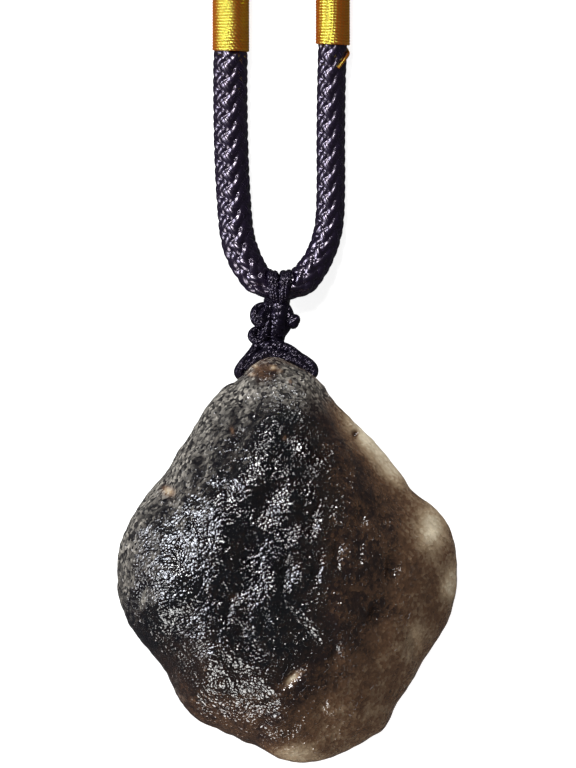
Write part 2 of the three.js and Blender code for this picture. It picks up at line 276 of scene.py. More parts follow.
def on_stitch(column, s, which, number):
    """Where a place lies along and across one stitch, from its middle."""
    lean = np.where(which % 2 == 0, 1.0, -1.0)
    x = (column - which - 0.5) * 2 * math.pi * BRAID_RADIUS / COLUMNS
    start = -which * COLUMN_SHIFT * STITCH_STEP
    y = s - start - number * STITCH_STEP
    slant = math.radians(STITCH_LEAN)
    along = lean * x * math.sin(slant) + y * math.cos(slant)
    across = x * math.cos(slant) - lean * y * math.sin(slant)
    return along, across


def top_stitch(column, s):
    """The skin's height over the braid's core, and which stitch of which column is on top there."""
    height = np.full(column.shape, -1.0)
    which, number = np.zeros(column.shape), np.zeros(column.shape)
    for beside in (-1, 0, 1):
        c = np.floor(column) + beside
        start = -c * COLUMN_SHIFT * STITCH_STEP
        nearest_one = np.round((s - start) / STITCH_STEP)
        for further in (-1, 0, 1):
            along, across = on_stitch(column, s, c, nearest_one + further)
            round_top = np.sqrt(np.clip(1 - (across / STITCH_WIDE) ** 2, 0, 1))
            dive = np.sqrt(np.clip(1 - np.abs(along / STITCH_LONG) ** STITCH_BLUNT, 0, 1))
            rise = round_top * dive
            higher = rise > height
            height = np.where(higher, rise, height)
            which = np.where(higher, c, which)
            number = np.where(higher, nearest_one + further, number)
    return STITCH_CROWN * height, which, number


def squeeze(s):
    """The braid's thickness as a share of its usual one."""
    from_bend = np.minimum(s, cord_length - s)
    under_thread = PINCH * (1 - soft_step(*PINCH_REACH, from_bend))
    right_end, right_full = (cord_length - place for place in RIGHT_SLIM_END)
    right = soft_step(right_end, right_full, s) * soft_step(*LEG_REACH, from_bend)
    left = soft_step(*LEG_REACH, s) * (1 - soft_step(*LEFT_SWELL_END, s))
    return 1 - under_thread + LEFT_SWELL * left - RIGHT_SLIM * right


vertices = []
first_of_ring = []
for s, count in zip(ring_places, ring_points):
    lift = BRAID_RADIUS * max(squeeze(s) - 1, 0)   # where it is thicker it still lies on the table
    middle = at_length(cord_curve, s) + Vector((0, 0, lift))
    ahead = at_length(cord_curve, min(s + AIM_REACH, cord_length))
    behind = at_length(cord_curve, max(s - AIM_REACH, 0))
    tangent = (ahead - behind).normalized()
    front = (Vector((0, 0, 1)) - tangent * tangent.z).normalized()
    beside = np.array(tangent.cross(front))
    around = np.arange(count) / count
    height = top_stitch(column_at(around, s), np.full(count, s))[0]
    radius = ((BRAID_RADIUS - STITCH_CROWN + height) * squeeze(s))[:, None]
    angle = 2 * math.pi * around[:, None]
    outward = np.array(front) * np.cos(angle) + beside * np.sin(angle)
    first_of_ring.append(len(vertices))
    vertices.extend((np.array(middle) + radius * outward) * MM)

faces, corner_rings, corner_shares = [], [], []
for n in range(len(ring_places) - 1):
    starts = first_of_ring[n:n + 2]
    counts = ring_points[n:n + 2]
    if counts[0] == counts[1]:
        pattern = [((0, k), (0, k + 1), (1, k + 1), (1, k)) for k in range(counts[0])]
    else:                      # three points of the one ring meet two of the other
        many, few = (0, 1) if counts[0] > counts[1] else (1, 0)
        pattern = []
        for g in range(LEG_AROUND - COIL_AROUND):
            pattern += [((many, 3 * g), (many, 3 * g + 1), (few, 2 * g + 1), (few, 2 * g)),
                        ((many, 3 * g + 1), (many, 3 * g + 2), (few, 2 * g + 1)),
                        ((many, 3 * g + 2), (many, 3 * g + 3), (few, 2 * g + 2), (few, 2 * g + 1))]
    for corners in pattern:
        faces.append([starts[end] + k % counts[end] for end, k in corners])
        corner_rings.append([n + end for end, k in corners])
        corner_shares.append([k / counts[end] for end, k in corners])
mesh = bpy.data.meshes.new("necklace_braid")
mesh.from_pydata(np.array(vertices).tolist(), [], faces)

# Each face takes its UV, in mm, from the stitch on top at its middle, and each stitch its own patch.
middle_s = np.array([ring_places[rings].mean() for rings in corner_rings])
middle_share = np.array([sum(shares) / len(shares) for shares in corner_shares])
_, which, number = top_stitch(column_at(middle_share, middle_s), middle_s)
sizes = [len(face) for face in faces]
which, number = np.repeat(which, sizes), np.repeat(number, sizes)
corner_s = ring_places[np.concatenate(corner_rings)]
corner_column = column_at(np.concatenate(corner_shares), corner_s)
along, across = on_stitch(corner_column, corner_s, which, number)
patches = np.stack([along + PATCH_STEPS[0] * number, across + PATCH_STEPS[1] * which], axis=1)
uv = mesh.uv_layers.new(name="strand")
uv.data.foreach_set("uv", patches.ravel())
mesh.polygons.foreach_set("use_smooth", [True] * len(mesh.polygons))
braid = bpy.data.objects.new("necklace_braid", mesh)
bpy.context.collection.objects.link(braid)


def select_only(piece):
    """Selects one piece and makes it the active one."""
    bpy.ops.object.select_all(action="DESELECT")
    piece.select_set(True)
    bpy.context.view_layer.objects.active = piece


# Both ends meet under the thread's turns; they are closed there.
select_only(braid)
bpy.ops.object.mode_set(mode="EDIT")
bpy.ops.mesh.select_all(action="DESELECT")
bpy.ops.mesh.select_non_manifold()
bpy.ops.mesh.edge_face_add()
bpy.ops.mesh.select_all(action="SELECT")
bpy.ops.mesh.normals_make_consistent(inside=False)
bpy.ops.object.mode_set(mode="OBJECT")

# Black dyed polyester filament, braided: nearly black with a cool violet cast, and a silky gloss that
# runs along each strand's fibres, which are about 0.8 mm long here and 0.08 mm wide, coarser than real.
FIBRE_STRETCH = (0.9, 9.0, 1.0)        # along a strand, and across it
FIBRE_SCALE = 1.4                      # times that, the fibres to a millimetre
FIBRE_RELIEF = 0.03

polyester, tree = new_material("black polyester filament")
spot = node(tree, "ShaderNodeUVMap", {}, uv_map="strand")
fibres = node(tree, "ShaderNodeMapping", {"Vector": spot, "Scale": FIBRE_STRETCH})
lint = node(tree, "ShaderNodeTexNoise", {"Vector": fibres, "Scale": FIBRE_SCALE, "Detail": 3.0,
                                         "Roughness": 0.6}).outputs["Fac"]
colour = node(tree, "ShaderNodeValToRGB", {"Fac": lint},
              stops=[(0.3, "#050209"), (0.6, "#120820"), (0.8, "#28143c")])
gloss = node(tree, "ShaderNodeValToRGB", {"Fac": lint}, stops=[(0.3, 0.22), (0.7, 0.28)])
bump = node(tree, "ShaderNodeBump", {"Height": lint, "Strength": 0.06, "Distance": FIBRE_RELIEF * MM})
shader = node(tree, "ShaderNodeBsdfPrincipled", {
    "Base Color": colour, "Roughness": gloss, "Normal": bump, "IOR": 1.6, "Specular IOR Level": 1.0,
    "Specular Tint": linear("#f8eaff")})
node(tree, "ShaderNodeOutputMaterial", {"Surface": shader})
mesh.materials.append(polyester)

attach(braid, "root")
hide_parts("necklace_cord", "necklace_coil")


# ---- Gold whippings ---------------------------------------------------------------------------------
# Golden yellow two-ply thread, 0.3 mm thick, wound close round each leg of the braid and drawn tight,
# with its ends tucked under the last turns. One loose end hangs out of the right-hand one.

GOLD_THREAD = 0.3              # its thickness, and the step from turn to turn
PRESSED_THREAD = 0.19          # radius of a turn, squeezed broad against its neighbours
WHIPPING_LENGTH = 9.6
WHIPPING_Z = 1.95              # height of the leg's middle over the table
WHIPPINGS = {                  # side: x of the leg, where the whipping starts, its outer radius
    "left": (-5.7, 50.95, 1.88),
    "right": (4.55, 51.6, 1.75),
}
WINDING_STEPS = 36             # points of the thread's path to a turn
WINDING_SIDES = 8
LOOSE_END = [(5.36, 51.9, 0.45), (5.9, 51.3, 1.0), (6.12, 50.8, 1.75), (5.98, 50.45, 2.6),
             (5.6, 49.95, 3.12), (5.12, 49.3, 3.42)]
LOOSE_END_STEPS = 24
LOOSE_END_SIDES = 7


def thread_tube(path, radius, sides, name):
    """A closed tube along close-set points, whose UV runs along it in mm and round it from 0 to 1. Its
    radius is a number, or a list with one for each point."""
    side = Vector((0.03, 0.02, 1))     # about upwards, and not along any thread's first stretch
    verts, quads, spots = [], [], []
    run = 0.0
    runs = []
    for n, point in enumerate(path):
        before, after = path[max(n - 1, 0)], path[min(n + 1, len(path) - 1)]
        tangent = (after - before).normalized()
        side = (side - tangent * side.dot(tangent)).normalized()
        other = tangent.cross(side)
        if n:
            run += (point - path[n - 1]).length
        runs.append(run)
        r = radius[n] if isinstance(radius, list) else radius
        for k in range(sides):
            angle = 2 * math.pi * k / sides
            verts.append((point + side * (r * math.cos(angle)) + other * (r * math.sin(angle))) * MM)
    for n in range(len(path) - 1):
        for k in range(sides):
            a, b = n * sides + k, n * sides + (k + 1) % sides
            quads.append((a, b, b + sides, a + sides))
            u0, u1 = k / sides, (k + 1) / sides
            spots.append([(runs[n], u0), (runs[n], u1), (runs[n + 1], u1), (runs[n + 1], u0)])
    last = (len(path) - 1) * sides
    quads.append(tuple(reversed(range(sides))))
    spots.append([(0.0, 0.5)] * sides)
    quads.append(tuple(range(last, last + sides)))
    spots.append([(run, 0.5)] * sides)
    made = bpy.data.meshes.new(name)
    made.from_pydata(verts, [], quads)
    layer = made.uv_layers.new(name="strand")
    for face, corners in zip(made.polygons, spots):
        for loop, corner in zip(face.loop_indices, corners):
            layer.data[loop].uv = corner
    made.polygons.foreach_set("use_smooth", [True] * len(made.polygons))
    piece = bpy.data.objects.new(name, made)
    bpy.context.collection.objects.link(piece)
    return piece


def join(pieces, name):
    """Joins pieces into one, with one mesh."""
    bpy.ops.object.select_all(action="DESELECT")
    for piece in pieces:
        piece.select_set(True)
    bpy.context.view_layer.objects.active = pieces[0]
    bpy.ops.object.join()
    pieces[0].name = name
    pieces[0].data.name = name
    return pieces[0]


# Two-ply golden polyester thread, twisted: its silky gloss is bright yellow where it meets the light and
# leaves a red-brown where it turns away. The plies show as slanted ribs, one about every 0.3 mm.
PLY_TURN = 38.0                # degrees, so that the ribs slant by about 30 on the wound thread
PLY_STRETCH = (1.0, 0.9, 1.0)
PLY_SCALE = 1.1                # a wave of this scale has a rib each 0.29 mm, before it is stretched
PLY_RELIEF = 0.06

gold, tree = new_material("golden twisted thread")
spot = node(tree, "ShaderNodeUVMap", {}, uv_map="strand")
plies = node(tree, "ShaderNodeMapping", {"Vector": spot, "Rotation": (0, 0, math.radians(PLY_TURN)),
                                         "Scale": PLY_STRETCH})
ribs = node(tree, "ShaderNodeTexWave", {"Vector": plies, "Scale": PLY_SCALE, "Distortion": 1.2,
                                        "Detail": 1.0}, wave_profile="SIN").outputs["Fac"]
# The base colour is darker down in the grooves between the ribs: painted shade.
colour = node(tree, "ShaderNodeValToRGB", {"Fac": ribs},
              stops=[(0.1, "#7a0a01"), (0.5, "#a01001"), (0.9, "#b81c04")])
bump = node(tree, "ShaderNodeBump", {"Height": ribs, "Strength": 0.35, "Distance": PLY_RELIEF * MM})
shader = node(tree, "ShaderNodeBsdfPrincipled", {
    "Base Color": colour, "Roughness": 0.3, "Normal": bump, "IOR": 3.0, "Specular IOR Level": 1.0,
    "Specular Tint": linear("#f0ff70")})
node(tree, "ShaderNodeOutputMaterial", {"Surface": shader})

for side_name, (leg_x, start, outer) in WHIPPINGS.items():
    winding = outer - PRESSED_THREAD
    steps = int(WHIPPING_LENGTH / GOLD_THREAD) * WINDING_STEPS
    path = []
    for n in range(steps + 1):
        angle = 2 * math.pi * n / WINDING_STEPS
        along = start + GOLD_THREAD / 2 + (WHIPPING_LENGTH - GOLD_THREAD) * n / steps
        path.append(Vector((leg_x + winding * math.cos(angle), along,
                            WHIPPING_Z + winding * math.sin(angle))))
    parts = [thread_tube(path, PRESSED_THREAD, WINDING_SIDES, "gold_winding_" + side_name)]
    if side_name == "right":
        tail_curve = smooth_curve(LOOSE_END)
        tail = [at_length(tail_curve, tail_curve[1][-1] * i / LOOSE_END_STEPS)
                for i in range(LOOSE_END_STEPS + 1)]
        parts.append(thread_tube(tail, GOLD_THREAD / 2, LOOSE_END_SIDES, "gold_tail"))
    whipping = join(parts, "gold_winding_" + side_name)
    whipping.data.materials.append(gold)
    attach(whipping, "root")
    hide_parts("gold_whipping_" + side_name)


# ---- Hanging thread ---------------------------------------------------------------------------------
# Thin black waxed thread, plaited, about 1 mm thick. It runs through the drilled hole, is knotted above
# the stone, and four turns of it hold the braid. Its cut end is melted to a blunt stub.

THREAD_ROUTE = [               # the same points as the frame's thread
    (-2.6, 22.6, 3.5), (-2.95, 21.65, 3.9), (-3.4, 20.85, 4.4), (-3.95, 20.15, 5.0), (-4.5, 19.5, 5.6),
    (-4.9, 18.75, 5.9), (-4.5, 18.25, 5.6), (-3.6, 18.2, 5.5), (0.9, 18.2, 5.5), (1.9, 18.25, 5.4),
    (2.55, 18.65, 5.1), (2.45, 19.25, 4.7), (1.85, 19.75, 4.3), (1.15, 20.15, 4.0), (0.4, 20.55, 3.7),
    (-0.5, 21.1, 3.4), (-1.4, 22.0, 3.3),
]
LOOP_RADIUS = 0.5
LOOP_SWELL = 0.14              # how much thicker it is where it comes back up to the knot
LOOP_SWELL_REACH = (0.6, 0.9)  # shares of its length between which it swells
KNOT_STRANDS = [               # radius and route of each strand that shows in the knot
    (0.95, [(-0.75, 26.2, 2.4), (-0.7, 25.3, 3.2), (-0.8, 24.4, 3.6), (-0.95, 23.3, 3.45),
            (-1.2, 22.2, 3.05), (-1.45, 21.4, 2.9), (-1.7, 20.9, 3.0)]),
    (0.7, [(-2.1, 25.1, 2.7), (-2.6, 24.6, 3.0), (-2.7, 24.1, 3.0), (-2.4, 23.4, 3.0)]),
    (0.5, [(-2.6, 23.0, 3.1), (-3.0, 22.6, 3.2), (-2.9, 22.1, 3.4), (-2.4, 21.7, 3.5)]),
    (0.52, [(-1.9, 26.0, 2.6), (-1.9, 25.0, 3.4), (-1.95, 24.1, 3.8), (-2.1, 23.1, 3.8),
            (-2.4, 22.3, 3.8), (-2.75, 21.5, 3.9), (-2.9, 20.9, 4.0)]),
    (0.5, [(-1.6, 25.3, 2.4), (-2.5, 25.3, 2.8), (-3.1, 25.0, 3.3), (-3.3, 24.4, 3.7),
           (-3.1, 23.85, 3.9), (-2.5, 23.55, 3.9), (-1.8, 23.5, 3.5)]),
    (0.46, [(-1.7, 24.8, 3.5), (-2.3, 24.75, 3.9), (-2.6, 24.4, 4.15), (-2.4, 24.05, 4.1),
            (-1.8, 23.95, 3.7)]),
    (0.4, [(-1.9, 23.0, 3.2), (-2.9, 23.05, 3.4), (-3.5, 22.75, 3.7), (-3.6, 22.25, 4.0),
           (-3.2, 21.85, 4.2), (-2.6, 21.8, 4.1)]),
    (0.45, [(-2.6, 24.9, 2.4), (-1.4, 24.6, 2.4), (-0.3, 24.5, 2.7), (0.3, 24.2, 3.2)]),
    (0.55, [(-4.3, 18.9, 5.7), (-3.75, 19.6, 5.4), (-3.1, 20.1, 5.1), (-2.4, 20.5, 4.9),
            (-1.7, 20.55, 4.8), (-0.9, 20.4, 4.7), (0.0, 20.1, 4.7), (0.9, 19.65, 4.8),
            (1.6, 19.2, 5.0), (2.1, 18.7, 5.2)]),
    (0.6, [(-2.9, 21.4, 3.9), (-1.9, 21.3, 4.1), (-0.9, 21.3, 4.0), (0.1, 20.95, 4.0),
           (1.0, 20.3, 4.2)]),
    (0.62, [(-0.6, 25.6, 3.0), (-0.1, 24.9, 3.3), (0.1, 24.1, 3.4), (-0.25, 23.3, 3.3),
            (-0.85, 22.4, 3.1), (-1.0, 21.6, 3.1)]),
]
STUB_PLACES = [(0.0, 24.2, 3.1), (0.3, 24.0, 3.3), (0.6, 23.85, 3.4), (0.85, 23.7, 3.4),
               (1.05, 23.6, 3.4), (1.15, 23.55, 3.4)]
STUB_RADII = [0.55, 0.7, 0.78, 0.74, 0.56, 0.28]
TURNS = [                      # place along the braid from the bend's middle, lean, thread radius
    (-1.1, 0.1, 0.42), (-0.36, -0.12, 0.38), (0.34, 0.06, 0.43), (1.05, -0.1, 0.38),
]
TURN_REACH = 1.64              # from the braid's middle to the middle of the thread
TURN_GATHER = 0.55             # how much closer together they lie towards the knot
TURN_BOW = 0.11                # how the outer ones follow the bend: rise over the place squared
TURN_POINTS = 48
THREAD_STEP = 0.12             # between the rings of a piece of thread
THREAD_SIDES = 14              # of a piece of thread
TURN_SIDES = 12                # of a turn and of the stub


def thread_piece(points, name, radius):
    """A piece of thread along a smooth curve; radius is a number or a function of the share of its
    length."""
    curve = smooth_curve(points)
    count = max(8, int(curve[1][-1] / THREAD_STEP))
    shares = [i / count for i in range(count + 1)]
    path = [at_length(curve, curve[1][-1] * share) for share in shares]
    thickness = [radius(share) if callable(radius) else radius for share in shares]
    return thread_tube(path, thickness, THREAD_SIDES, name)


def loop_radius(share):
    """The radius of the loop through the stone at a share of its length."""
    return LOOP_RADIUS + LOOP_SWELL * soft_step(*LOOP_SWELL_REACH, share)


threads = [thread_piece(THREAD_ROUTE, "loop_through_stone", loop_radius)]
bottom = Vector(CORD_ROUTE[BEND])
for place, lean, thick in TURNS:
    turn = []
    for k in range(TURN_POINTS + 1):
        angle = math.pi + 2 * math.pi * k / TURN_POINTS
        gather = 1 - TURN_GATHER * (0.5 - 0.5 * math.sin(angle))
        turn.append(bottom + Vector((place * gather + lean * math.cos(angle) + lean * math.sin(angle),
                                     TURN_BOW * place ** 2 + TURN_REACH * math.sin(angle),
                                     TURN_REACH * math.cos(angle))))
    threads.append(thread_tube(turn, thick, TURN_SIDES, "turn"))
for radius, route in KNOT_STRANDS:
    threads.append(thread_piece(route, "knot_strand", radius))
threads.append(thread_tube([Vector(p) for p in STUB_PLACES], STUB_RADII, TURN_SIDES, "stub"))
hanging = join(threads, "waxed_hanging_thread")

# Waxed polyester thread, plaited: black with a dull violet cast. The wax fills it to a bumpy skin, which
# glints on each of its small stitches.
PLAIT_STITCHES = (2.6, 7.0, 1.0)       # to a millimetre along the thread, and round it
PLAIT_RELIEF = 0.24

waxed, tree = new_material("waxed plaited thread")
spot = node(tree, "ShaderNodeUVMap", {}, uv_map="strand")
grid = node(tree, "ShaderNodeMapping", {"Vector": spot, "Scale": PLAIT_STITCHES})
stitches = node(tree, "ShaderNodeTexVoronoi", {"Vector": grid, "Scale": 1.0, "Randomness": 0.9})
colour = node(tree, "ShaderNodeValToRGB", {"Fac": stitches}, stops=[(0.0, "#1a1426"), (0.6, "#0c0914")])
bump = node(tree, "ShaderNodeBump", {"Height": stitches, "Strength": 0.9, "Distance": PLAIT_RELIEF * MM},
            invert=True)
shader = node(tree, "ShaderNodeBsdfPrincipled", {
    "Base Color": colour, "Roughness": 0.22, "Normal": bump, "Specular Tint": linear("#f4e6ff")})
node(tree, "ShaderNodeOutputMaterial", {"Surface": shader})
hanging.data.materials.append(waxed)
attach(hanging, "root")
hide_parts("hanging_thread")


# ---- Tektite ----------------------------------------------------------------------------------------
# Natural glass, etched by soil water: a lumpy drop with a fine sugary grain all over, long dimples on
# its front, and a hole drilled through the tip. It is one solid piece; only its skin is refined here.

VOXEL = 0.2                    # the refined skin's mesh
WELD = 1e-6                    # metres, under which two of the frame's corners are one
RELIEFS = [                    # name, size and height of the features, and how often they are refined
    ("stone_lumps", 3.4, 0.5, 1), ("stone_waves", 1.3, 0.16, 0), ("stone_grain", 0.62, 0.08, 0),
]
BODY_EDGE = [                  # where the black body ends and the smoother brown flank starts: y, x
    (-20.0, -2.5), (-16.0, 1.5), (-12.0, 4.5), (-7.5, 5.9), (-5.5, 8.0), (-0.5, 8.8), (4.4, 8.4),
    (8.0, 7.4), (11.2, 5.9), (14.4, 4.5), (20.0, 2.5),
]
BODY_EDGE_BLEND = (-0.5, 5.0)  # to the right of it, where the flank starts and where it is complete
FLANK_CALM = 0.5               # how much lower the reliefs are on the flank
FRONT_HEIGHT = 4.0             # what lies higher than this is the front
DENTS = [                      # x, y, half length, half width, lean in degrees, depth
    (-0.2, -1.4, 2.0, 0.55, 4, 0.42), (2.9, -1.0, 1.3, 0.5, 5, 0.3), (5.0, 0.9, 1.5, 0.5, 2, 0.35),
    (7.2, 4.3, 1.2, 0.5, -6, 0.3), (7.1, 0.8, 1.1, 0.45, 0, 0.3), (10.4, -1.2, 1.7, 0.55, -3, 0.35),
    (8.7, -5.4, 1.1, 0.5, 5, 0.28), (12.5, -8.4, 1.4, 0.5, -10, 0.3), (-5.9, -5.1, 1.2, 0.5, 8, 0.3),
    (5.9, 8.4, 1.3, 0.5, -20, 0.3), (2.6, 3.9, 1.2, 0.5, 10, 0.25), (0.5, -11.6, 1.3, 0.5, 48, 0.35),
    (4.8, -9.0, 1.0, 0.5, 10, 0.25), (-2.2, -6.3, 1.2, 0.5, 0, 0.25), (-8.6, -9.0, 1.0, 0.6, 30, 0.25),
    (-11.7, 6.8, 0.55, 0.45, 0, 0.45), (-4.6, 12.6, 0.6, 0.5, 0, 0.3), (-5.3, -3.6, 0.5, 0.5, 0, 0.25),
    (6.75, 12.6, 0.4, 0.35, 0, 0.3), (-1.5, -14.2, 1.5, 0.5, 75, 0.25), (3.4, -14.6, 1.0, 0.5, 20, 0.25),
]
DENT_EDGE = 1.3                # how sharply a dent ends

cad_stone = bpy.data.objects["tektite"]
stone = cad_stone.copy()
stone.data = cad_stone.data.copy()
stone.name = "tektite_glass"
bpy.context.collection.objects.link(stone)
for key in list(stone.keys()):
    del stone[key]
select_only(stone)
bpy.ops.object.mode_set(mode="EDIT")
bpy.ops.mesh.select_all(action="SELECT")
bpy.ops.mesh.remove_doubles(threshold=WELD)
bpy.ops.object.mode_set(mode="OBJECT")


def finish_modifier(piece, kind, **settings):
    """Adds a modifier and applies it."""
    select_only(piece)
    modifier = piece.modifiers.new(kind.lower(), kind)
    for name, value in settings.items():
        setattr(modifier, name, value)
    bpy.ops.object.modifier_apply(modifier=modifier.name)


def skin_rows(mesh, what):
    """The mesh's points in metres, "co", or their normals, "normal", a row each."""
    flat = np.empty(3 * len(mesh.vertices))
    mesh.vertices.foreach_get(what, flat)
    return flat.reshape(-1, 3)


def flank_share(points):
    """0 on the black body, 1 on the brown flank."""
    heights, edges = zip(*BODY_EDGE)
    return soft_step(*BODY_EDGE_BLEND, points[:, 0] - np.interp(points[:, 1], heights, edges))


def spot_share(points, x, y, long, wide, lean, sharp=1.0):
    """A soft-edged long spot on the front, 1 in its middle. It leans clockwise by so many degrees."""
    a = math.radians(lean)
    dx, dy = points[:, 0] - x, points[:, 1] - y
    along = dy * math.cos(a) + dx * math.sin(a)
    across = dx * math.cos(a) - dy * math.sin(a)
    inside = np.exp(-((along / long) ** 2 + (across / wide) ** 2) ** sharp)
    return inside * (points[:, 2] > FRONT_HEIGHT)


finish_modifier(stone, "REMESH", mode="VOXEL", voxel_size=VOXEL * MM)
finish_modifier(stone, "SMOOTH", factor=0.5, iterations=12)

grainy = stone.vertex_groups.new(name="grainy")
for index, share in enumerate(flank_share(skin_rows(stone.data, "co") / MM)):
    grainy.add([index], 1 - FLANK_CALM * share, "REPLACE")
for name, size, height, refined in RELIEFS:
    clouds = bpy.data.textures.new(name, "CLOUDS")
    clouds.noise_scale = size * MM
    clouds.noise_depth = refined
    grid = bpy.data.objects.new(name + "_grid", None)
    bpy.context.collection.objects.link(grid)
    finish_modifier(stone, "DISPLACE", texture=clouds, texture_coords="OBJECT", texture_coords_object=grid,
                    direction="NORMAL", strength=height * MM, mid_level=0.5, vertex_group="grainy")
    bpy.data.objects.remove(grid)

mesh = stone.data
points = skin_rows(mesh, "co") / MM
normals = skin_rows(mesh, "normal")
sunk = sum(depth * spot_share(points, *spot, DENT_EDGE) for *spot, depth in DENTS)
points -= normals * sunk[:, None]
points[:, 2] = np.maximum(points[:, 2], 0)     # the flat spot that it rests on stays flat
mesh.vertices.foreach_set("co", (points * MM).ravel())
mesh.polygons.foreach_set("use_smooth", [True] * len(mesh.polygons))
mesh.update()

# How clear the glass looks at each place, from 0, black, to 1, pale tan: painted light, standing in for
# light that shines through the glass. It is clear where it is thin: the light that a spread of straight
# ways through it keeps. Its spots also carry some of the glass's own tone.
KEEP_LENGTH = 4.0              # of glass, over which light fades to about a third
WAYS = 40                      # from each of the frame's faces
WAYS_SPREAD = 0.9              # 1 would be all ways inwards
GOLDEN_ANGLE = 2.39996         # radians, from one way to the next round the normal
START_INSIDE = 0.01            # under the skin
NEAR_FACES = 6                 # faces that a place on the refined skin takes its thinness from
NEAR_BLEND = 0.1
EDGE_CLEAR = 0.3               # how much clearer the stone is where it is thin
EDGE_THIN = (0.12, 0.4)        # the kept light at which that starts and is complete
FLANK_CLEAR = 0.42             # how clear the flank is all over
FLANK_EDGE_CLEAR = 0.3         # and how much clearer still where it is thin
FLANK_EDGE_THIN = (0.14, 0.3)
FOOT_CLEAR = 0.28              # how much clearer the body is at its round end
FOOT_REACH = (7.0, 17.0)       # below the middle
RIGHT_CLEAR = 0.245            # how much clearer the body is next to the flank
RIGHT_REACH = (-1.0, 7.0)      # to the right of the middle
CHIPPED_SPOT = (-2.2, 18.7, 1.1, 1.6, 0)       # by the hole: x, y, half length, half width, lean
CLEAR_SPOTS = [                # x, y, half length, half width, lean in degrees, how much clearer
    (8.0, 12.0, 4.6, 1.3, -42, 0.55), (14.4, 3.2, 2.4, 1.4, 0, 0.45), (16.2, -2.4, 1.8, 0.9, 0, 0.34),
    (12.6, -8.2, 2.4, 1.3, 12, 0.16), (0.6, -19.3, 1.0, 2.2, 0, 0.34), (-11.9, 6.9, 0.5, 0.7, 25, 0.8),
    (0.5, -11.6, 1.0, 0.4, 48, 0.75), (*CHIPPED_SPOT, 0.4), (6.75, 12.6, 0.45, 0.35, 0, -0.5),
    (-3.2, 19.35, 0.25, 0.3, 0, 0.45), (-1.4, 19.2, 0.3, 0.26, 30, 0.5), (-3.65, 18.5, 0.2, 0.4, 0, 0.45),
    (-0.75, 18.85, 0.22, 0.32, 0, 0.4), (0.25, 17.8, 0.35, 0.2, -30, 0.5), (-2.0, 18.6, 0.4, 0.6, 0, -0.12),
    (-5.3, -3.6, 0.5, 0.5, 0, 0.3), (10.6, 8.6, 1.6, 1.0, -40, 0.2), (-5.5, 12.9, 0.5, 0.25, -20, 0.45),
    (-0.3, 12.2, 0.3, 0.3, 0, 0.4), (-9.0, -9.0, 4.0, 3.5, 30, 0.09),
]

shape = cad_stone.data
skin = BVHTree.FromPolygons([v.co for v in shape.vertices], [p.vertices for p in shape.polygons])
nearest = KDTree(len(shape.polygons))
thinness = []
for face in shape.polygons:
    inward = -face.normal
    side = inward.orthogonal().normalized()
    other = inward.cross(side)
    kept = 0.0
    for k in range(WAYS):
        tilt = math.asin(math.sqrt((k + 0.5) / WAYS * WAYS_SPREAD))
        turn = GOLDEN_ANGLE * k
        way = inward * math.cos(tilt) + (side * math.cos(turn) + other * math.sin(turn)) * math.sin(tilt)
        distance = skin.ray_cast(face.center + inward * (START_INSIDE * MM), way)[3]
        kept += math.exp(-(distance or 0.0) / (KEEP_LENGTH * MM)) / WAYS
    nearest.insert(face.center, face.index)
    thinness.append(kept)
nearest.balance()
thin = []
for vertex in mesh.vertices:
    found = [(1 / (distance + NEAR_BLEND * MM), thinness[index])
             for _, index, distance in nearest.find_n(vertex.co, NEAR_FACES)]
    thin.append(sum(w * value for w, value in found) / sum(w for w, value in found))
thin = np.array(thin)

flank = flank_share(points)
at_edge = EDGE_CLEAR * soft_step(*EDGE_THIN, thin)
on_flank = FLANK_CLEAR + FLANK_EDGE_CLEAR * soft_step(*FLANK_EDGE_THIN, thin)
at_foot = FOOT_CLEAR * soft_step(*FOOT_REACH, -points[:, 1])
at_right = RIGHT_CLEAR * soft_step(*RIGHT_REACH, points[:, 0])
painted_through_light = at_edge + on_flank * flank
painted_through_light += (at_foot + at_right) * (1 - flank)
for *spot, more in CLEAR_SPOTS:
    painted_through_light += more * spot_share(points, *spot)

# Painted sheen: the steep left and upper sides, which face the lamps, get a grey film painted on in place
# of the light that they reflect, all but a chipped spot by the hole.
SHEEN_FACING = (-0.87, 0.5)    # the way that the sides with the painted sheen face, x and y
SHEEN_SIDE = 1.15              # how thick the painted film is there
SHEEN_TURN = (0.5, 1.1)        # where it starts and would be whole; 1 is a side turned fully that way
SHEEN_TIP = 0.9                # how thick it is at the tip
SHEEN_TIP_REACH = (14.0, 18.0)
CHIP_EDGE = 2.0                # how sharply the painted sheen ends round the chipped spot

facing = SHEEN_FACING[0] * normals[:, 0] + SHEEN_FACING[1] * normals[:, 1]
painted_sheen = SHEEN_SIDE * soft_step(*SHEEN_TURN, facing) + SHEEN_TIP * soft_step(*SHEEN_TIP_REACH, points[:, 1])
painted_sheen *= 1 - spot_share(points, *CHIPPED_SPOT, CHIP_EDGE)
for name, values in (("painted_through_light", painted_through_light), ("painted_sheen", painted_sheen)):
    layer = mesh.attributes.new(name, "FLOAT", "POINT")
    layer.data.foreach_set("value", np.clip(values, 0, 1))

